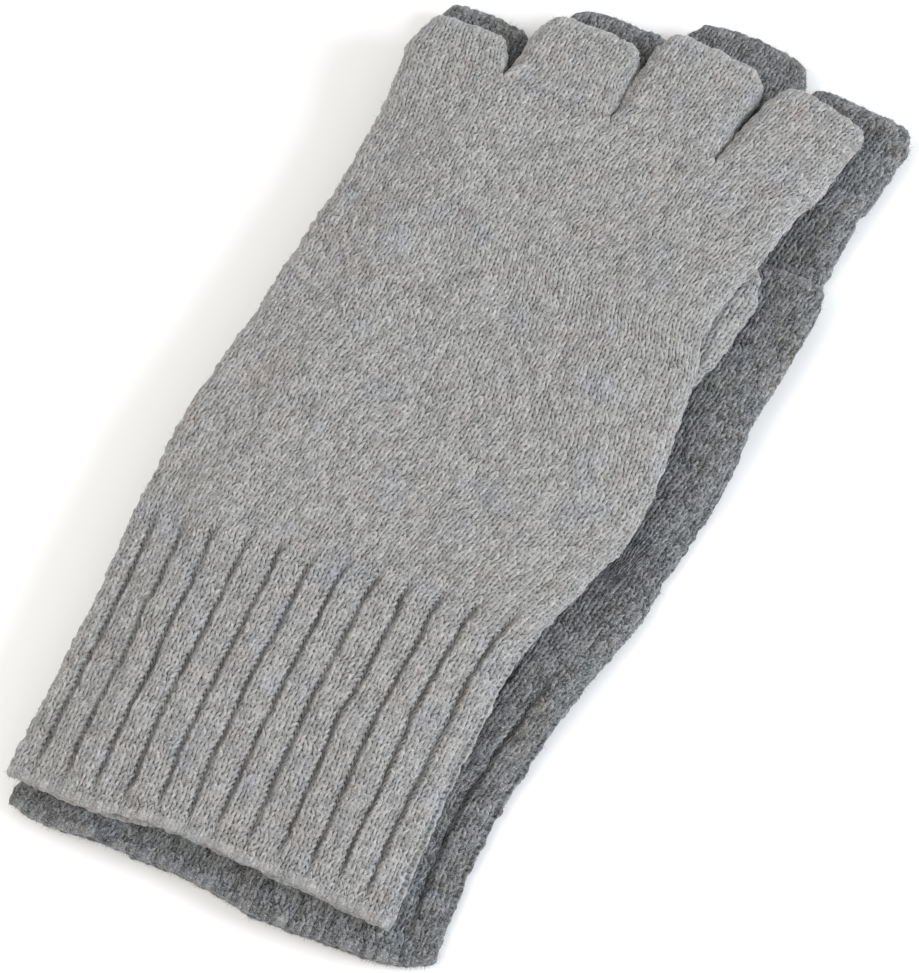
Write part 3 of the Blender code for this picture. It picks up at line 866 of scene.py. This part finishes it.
for number, sizes in enumerate((DARK, LIGHT)):
    for index, (finger, length, *_) in enumerate(sizes["fingers"]):
        name, seed = f"{sizes['name']}_{finger}", 40 + 8 * number + index
        tube = finger_tube(sizes, index)
        wales, phase = finger_wales(sizes, index, tube)
        body_end = length + GAP - RIM_LENGTH
        made[name + "_finger"] = knit(
            name + "_finger_knit", tube, wales, phase, -STITCH_RISE_MM, body_end, seed,
            tucked=True)
        made[name + "_rim"] = knit(
            name + "_rim_knit", tube, wales, phase, body_end, length + GAP, seed + 20,
            lean=upright_last, free=1, bead=RIM_BEAD)
        print(name, "has", wales, "wales round")

# %% [markdown]
# ## Thumbs
# A thumb grows out of the hand over its gusset: a wedge of extra stitches that widens from a point
# near the wrist and rises until the thumb is a tube of its own, which then lies flat along the
# hand's edge. The wedge's lower face stays inside the hand's fabric, so no seam shows.

# %% Thumb tubes
GUSSET_START, GUSSET_END = -22.0, 4.0
WEDGE_SHARE = 0.25
THUMB_CORNER, THUMB_TIP = 4.5, 9.0
TIP_IN_LEFT, TIP_IN_RIGHT, TIP_OUT = 0.9, 1.3, 0.8
TUCK_FROM, TUCK_TO = 24.0, 42.0
ROOT_UNDER, ROOT_SUNK, THUMB_SUNK = 1.4, 0.9, 0.45
LIGHT["tuck"], DARK["tuck"] = 4.0, 0.0
LIGHT["thumb_slant"], DARK["thumb_slant"] = -0.03, 0.15


def thumb_tube(sizes):
    upper = sizes is LIGHT
    surface = sizes["base"] + (sizes["raise_by"] if upper else THIN_HEIGHT)
    away = -1 if upper else 1
    root_x, root_y = sizes["palm_x"] + sizes["thumb_x"], sizes["wrist_y"] + sizes["thumb_y"]
    start = np.array([root_x, root_y, 0.0])
    run, half = heading(sizes["thumb_lean"]), sizes["thumb_width"] / 2
    bend = sizes["thumb_hole_length"] / 2 + THUMB_BEND

    def cut(along):
        # the gusset widens and rises out of the hand, and is a full tube from the bend on
        grown = float(ease(along, GUSSET_START, GUSSET_END))
        wide = float(ease(along, GUSSET_START - 6.0, bend))
        end = float(ease(along, sizes["thumb_length"] - THUMB_TIP, sizes["thumb_length"]))
        wide = WEDGE_SHARE + (1.0 - WEDGE_SHARE) * wide
        left, right = -half * wide + TIP_IN_LEFT * end, half * wide - TIP_IN_RIGHT * end
        right -= sizes["tuck"] * (1.0 - float(ease(along, TUCK_FROM, TUCK_TO)))
        low = -ROOT_UNDER + (ROOT_UNDER + GAP) * float(ease(along, 0.0, bend))
        high = -ROOT_SUNK + (ROOT_SUNK - THUMB_SUNK + GAP + THUMB_HEIGHT) * grown

        def levels(across):
            return low + 0 * across, high + 0 * across

        ring = flat_ring(left, right, levels, min(SIDE_ROUND, 0.45 * (right - left)))
        ring[:, 1] = surface + away * ring[:, 1]
        if upper:
            ring = np.roll(ring[::-1], 1, axis=0)
        placed = stand(ring, start + along * run, -sizes["thumb_lean"])
        rounded = corner(ring[:, 0], left, right, THUMB_CORNER)
        placed[:, 1] += (sizes["thumb_slant"] * ring[:, 0] + TIP_OUT - rounded) * end
        return placed

    return Tube(cut, GUSSET_START, sizes["thumb_length"] + 0.5, **FINE)

# %% Knit the thumbs
for number, sizes in enumerate((DARK, LIGHT)):
    name, seed = sizes["name"] + "_thumb", 60 + 5 * number
    tube = thumb_tube(sizes)
    wales = int(round(tube.girth(30.0) / STITCH_WIDTH))
    body_end = sizes["thumb_length"] - RIM_LENGTH
    made[name] = knit(name + "_knit", tube, wales, 0, GUSSET_START, body_end, seed,
                      lean=lambda part: ease(part, 0, 0.1))
    made[name + "_rim"] = knit(
        name + "_rim_knit", tube, wales, 0, body_end, sizes["thumb_length"], seed + 20,
        lean=upright_last, free=1, bead=RIM_BEAD)
    print(name, "has", wales, "wales round")

# %% [markdown]
# ## Loose fibres
# Wool never ends at its yarn: thousands of fine hairs stand off it and blur its outline. Each one
# here is a long thin spike with a closed triangular root, placed where `root_fibres` put it. They
# are gathered in one piece for each body, so that they follow the knitting they grow from.

# %% Fuzz
FIBRE_THICK, ROOT_INSIDE = 0.04, 0.15
ROOT_ANGLES = (0.0, 2.0944, 4.1888)
SPIKE = np.array([[0, 1, 2], [0, 3, 1], [1, 3, 2], [2, 3, 0]])


def fuzz(name, group):
    roots, reach, tone = (np.concatenate(column) for column in zip(*FIBRES[group]))
    reach[:, 2] = np.maximum(reach[:, 2], 0.02 - roots[:, 2])
    across = np.cross(reach, (0.31, 0.52, 0.79))
    across /= np.linalg.norm(across, axis=1, keepdims=True) + 1e-9
    other = np.cross(across, reach / (np.linalg.norm(reach, axis=1, keepdims=True) + 1e-9))
    start = roots - ROOT_INSIDE * reach
    corners = [start + FIBRE_THICK * (math.cos(angle) * across + math.sin(angle) * other)
               for angle in ROOT_ANGLES]
    points = np.stack([*corners, roots + reach], 1)
    points[..., 2] = np.maximum(points[..., 2], 0.0)
    first = 4 * np.arange(len(roots))[:, None]
    faces = (first[:, None] + SPIKE).reshape(-1, 3)
    side = int(math.ceil(math.sqrt(len(roots))))
    place = np.stack([np.arange(len(roots)) % side, np.arange(len(roots)) // side], -1) / side
    spot = place[:, None, None] + np.array([[0.1, 0.1], [0.9, 0.1], [0.1, 0.9]]) / side
    flat = np.broadcast_to(spot, (len(roots), 4, 3, 2)).reshape(-1, 3, 2)
    notes = np.stack([tone, np.full_like(tone, 0.9), 0 * tone], -1)
    return make_mesh(name, points.reshape(-1, 3), faces, flat, np.repeat(notes, 4, axis=0))


fuzz_pieces = {group: fuzz(group + "_fuzz", group) for group in FIBRES}
print({group: len(piece.data.polygons) // 4 for group, piece in fuzz_pieces.items()}, "fibres")

# %% [markdown]
# ## Melange wool
# Both gloves are spun from fibres of several greys, with a few warm and cool ones among them. Up
# close that shows as flecks, and from further off as soft patches. The colour is built in the
# same order: flecks and each leg's own tone between a dark and a light grey, tinted patches, and
# then painted shade: the gaps between the yarns and the ribs' grooves are painted darker, as little
# light gets in there. Wool is rough all over, with a soft sheen from the loose fibres that stand off
# it.

# %% Helpers for shader nodes
def add(nodes, kind, **settings):
    node = nodes.new(kind)
    for key, value in settings.items():
        if key.startswith("in_"):
            node.inputs[key[3:].replace("_", " ")].default_value = value
        else:
            setattr(node, key, value)
    return node


def blend_colour(nodes, links, kind, amount, first, second):
    mix = add(nodes, "ShaderNodeMix", data_type="RGBA", blend_type=kind)
    for socket, value in ((0, amount), (6, first), (7, second)):
        if hasattr(value, "links"):
            links.new(value, mix.inputs[socket])
        else:
            mix.inputs[socket].default_value = value
    return mix.outputs[2]


def spread(nodes, links, value, low, high, to_low=0.0, to_high=1.0):
    fit = add(nodes, "ShaderNodeMapRange", in_From_Min=low, in_From_Max=high,
              in_To_Min=to_low, in_To_Max=to_high)
    links.new(value, fit.inputs["Value"])
    return fit.outputs["Result"]

# %% Wool material
# how dark the painted shade in the ribs' grooves is
GROOVE_SHADE = (0.90, 0.90, 0.90, 1)
STREAK_SCALE, SPECK_SCALE, HAIR_SCALE, PATCH_SCALE = 1500.0, 3400.0, 2600.0, 110.0
CONTRAST, LEG_TONE, SPECK_TONE = 0.62, 0.15, 0.22


# gap is how dark the painted shade between the yarns is
def wool(name, middle, fleck_dark, fleck_light, gap, warm, cool, green):
    material = bpy.data.materials.new(name)
    material.use_nodes = True
    nodes, links = material.node_tree.nodes, material.node_tree.links
    shader = nodes["Principled BSDF"]
    yarn = add(nodes, "ShaderNodeAttribute", attribute_name="yarn").outputs["Vector"]
    place = add(nodes, "ShaderNodeAttribute", attribute_name="place").outputs["Vector"]
    parts = add(nodes, "ShaderNodeSeparateXYZ")
    links.new(yarn, parts.inputs[0])

    def noise(vector, scale, detail, rough=0.5):
        cloud = add(
            nodes, "ShaderNodeTexNoise", in_Scale=scale, in_Detail=detail, in_Roughness=rough)
        links.new(vector, cloud.inputs["Vector"])
        return cloud.outputs["Fac"]

    streak = noise(place, STREAK_SCALE, 3.0, 0.75)
    speck = noise(place, SPECK_SCALE, 2.0, 0.6)
    amount = spread(nodes, links, streak, 0.5, 0.8, middle, middle + CONTRAST)
    for value, low, high, size in (
            (parts.outputs["X"], -1.0, 1.0, LEG_TONE), (speck, 0.3, 0.7, SPECK_TONE)):
        more = add(nodes, "ShaderNodeMath", operation="ADD")
        links.new(amount, more.inputs[0])
        links.new(spread(nodes, links, value, low, high, -size, size), more.inputs[1])
        amount = more.outputs[0]
    colour = blend_colour(nodes, links, "MIX", amount, fleck_dark, fleck_light)
    for shift, low, tint in ((0.0, 0.53, warm), (0.37, 0.55, cool), (-0.61, 0.60, green)):
        moved = add(nodes, "ShaderNodeVectorMath", operation="ADD")
        links.new(place, moved.inputs[0])
        moved.inputs[1].default_value = (shift, shift, shift)
        patch = spread(nodes, links, noise(moved.outputs[0], PATCH_SCALE, 3.0), low, low + 0.2)
        colour = blend_colour(nodes, links, "MULTIPLY", patch, colour, tint)
    # painted shade: the colour darkens where the yarn lies low, in the gaps between the legs
    depth = spread(nodes, links, parts.outputs["Y"], 0.66, 0.2, 0.0, 1.0)
    colour = blend_colour(nodes, links, "MULTIPLY", depth, colour, (gap, gap, gap, 1))
    # painted shade: the colour darkens in the ribs' grooves, where little light gets in
    colour = blend_colour(nodes, links, "MULTIPLY", parts.outputs["Z"], colour, GROOVE_SHADE)
    links.new(colour, shader.inputs["Base Color"])
    links.new(spread(nodes, links, streak, 0.2, 0.8, 0.98, 0.82), shader.inputs["Roughness"])
    shader.inputs["Specular IOR Level"].default_value = 0.25
    shader.inputs["Sheen Weight"].default_value = 0.35
    shader.inputs["Sheen Roughness"].default_value = 0.45
    fibre = add(nodes, "ShaderNodeBump", in_Strength=0.45, in_Distance=0.0002)
    links.new(streak, fibre.inputs["Height"])
    fuzz = add(nodes, "ShaderNodeBump", in_Strength=0.25, in_Distance=0.00015)
    links.new(noise(place, HAIR_SCALE, 3.0, 0.6), fuzz.inputs["Height"])
    links.new(fibre.outputs["Normal"], fuzz.inputs["Normal"])
    links.new(fuzz.outputs["Normal"], shader.inputs["Normal"])
    return material

# %% The two wools
# the fifth value of each wool is the darkness of the painted shade between the yarns
light_wool = wool(
    "light_melange_wool", 0.42, (0.10, 0.099, 0.098, 1), (0.56, 0.555, 0.549, 1), 0.34,
    (1.0, 0.95, 0.93, 1), (0.94, 0.97, 1.04, 1), (0.97, 1.0, 0.94, 1))
dark_wool = wool(
    "dark_melange_wool", 0.25, (0.026, 0.027, 0.028, 1), (0.48, 0.49, 0.505, 1), 0.34,
    (1.0, 0.95, 0.86, 1), (0.90, 0.97, 1.06, 1), (0.93, 1.0, 0.96, 1))
print("wool:", light_wool.name, dark_wool.name)

# %% [markdown]
# ## Put the pieces on the bodies
# Each piece stands for its CAD shell, which is hidden, and takes its own glove's wool. A thumb's
# main knitting and the fibres on its thumb are left where they lie, on no body, while the thumb's
# rim goes with the thumb. The glove's loose fibres go with the knitting that they grow from.


def put_on(piece, name):
    """Gives a piece its wool, and the body that it moves with unless it is a thumb's main piece or
    fibres.
    """
    glove = name.split("_")[0]
    piece.data.materials.append(light_wool if glove == "light" else dark_wool)
    if name.endswith("_thumb"):
        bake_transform(piece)
    else:
        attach(piece, glove + ("_thumb" if "thumb" in name else "_glove"))


for node, piece in made.items():
    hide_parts(node)
    put_on(piece, node)
for group, piece in fuzz_pieces.items():
    put_on(piece, group)
print(len(made), "pieces,", sum(len(piece.data.polygons) for piece in made.values()), "faces")

# %% [markdown]
# ## Table, light and camera
# A plain white table, an even white room, a soft lamp from the thumb side and a weaker one from
# the other, so that the folds at the thumbs are a little brighter and each V keeps its shadow.

# %% Stage
bpy.ops.mesh.primitive_plane_add(size=6.0, location=(0, 0, -0.0003))
table = bpy.context.object
table.name = "table"
paper = bpy.data.materials.new("white_table")
paper.use_nodes = True
matt = paper.node_tree.nodes["Principled BSDF"]
matt.inputs["Base Color"].default_value = (0.93, 0.93, 0.93, 1)
matt.inputs["Roughness"].default_value = 0.9
table.data.materials.append(paper)

world = bpy.data.worlds.new("room")
bpy.context.scene.world = world
world.use_nodes = True
air = world.node_tree.nodes["Background"]
air.inputs["Color"].default_value = (1.0, 1.0, 1.0, 1)
air.inputs["Strength"].default_value = 0.70
bpy.context.scene.view_settings.view_transform = "Standard"
print("stage:", table.name, "and", world.name)

# %% Lamps
def lamp(name, place, power, size, colour):
    data = bpy.data.lights.new(name, "AREA")
    data.energy, data.size, data.color = power, size, colour
    obj = bpy.data.objects.new(name, data)
    obj.location = place
    obj.rotation_euler = (Vector((0, 0, 0)) - Vector(place)).to_track_quat("-Z", "Y").to_euler()
    bpy.context.scene.collection.objects.link(obj)
    print(name, power, "W")


lamp("soft_lamp", (0.9, 0.35, 0.55), 10.0, 0.5, (0.89, 0.94, 1.0))
lamp("fill_lamp", (-0.5, -0.4, 0.8), 5.0, 0.8, (1.0, 0.95, 0.88))

# %% Camera
AZIMUTH, ELEVATION, DISTANCE = math.radians(30), math.radians(72), 0.650
target = Vector((0.006485, -0.009823, 0.010))
level = math.cos(ELEVATION)
back = Vector((math.sin(AZIMUTH) * level, -math.cos(AZIMUTH) * level, math.sin(ELEVATION)))
camera_data = bpy.data.cameras.new("camera")
camera_data.lens, camera_data.sensor_width = 108.0, 36.0
camera = bpy.data.objects.new("camera", camera_data)
camera.location = target + back * DISTANCE
camera.rotation_euler = (-back).to_track_quat("-Z", "Y").to_euler()
bpy.context.scene.collection.objects.link(camera)
bpy.context.scene.camera = camera
print("the camera is", DISTANCE, "m away")
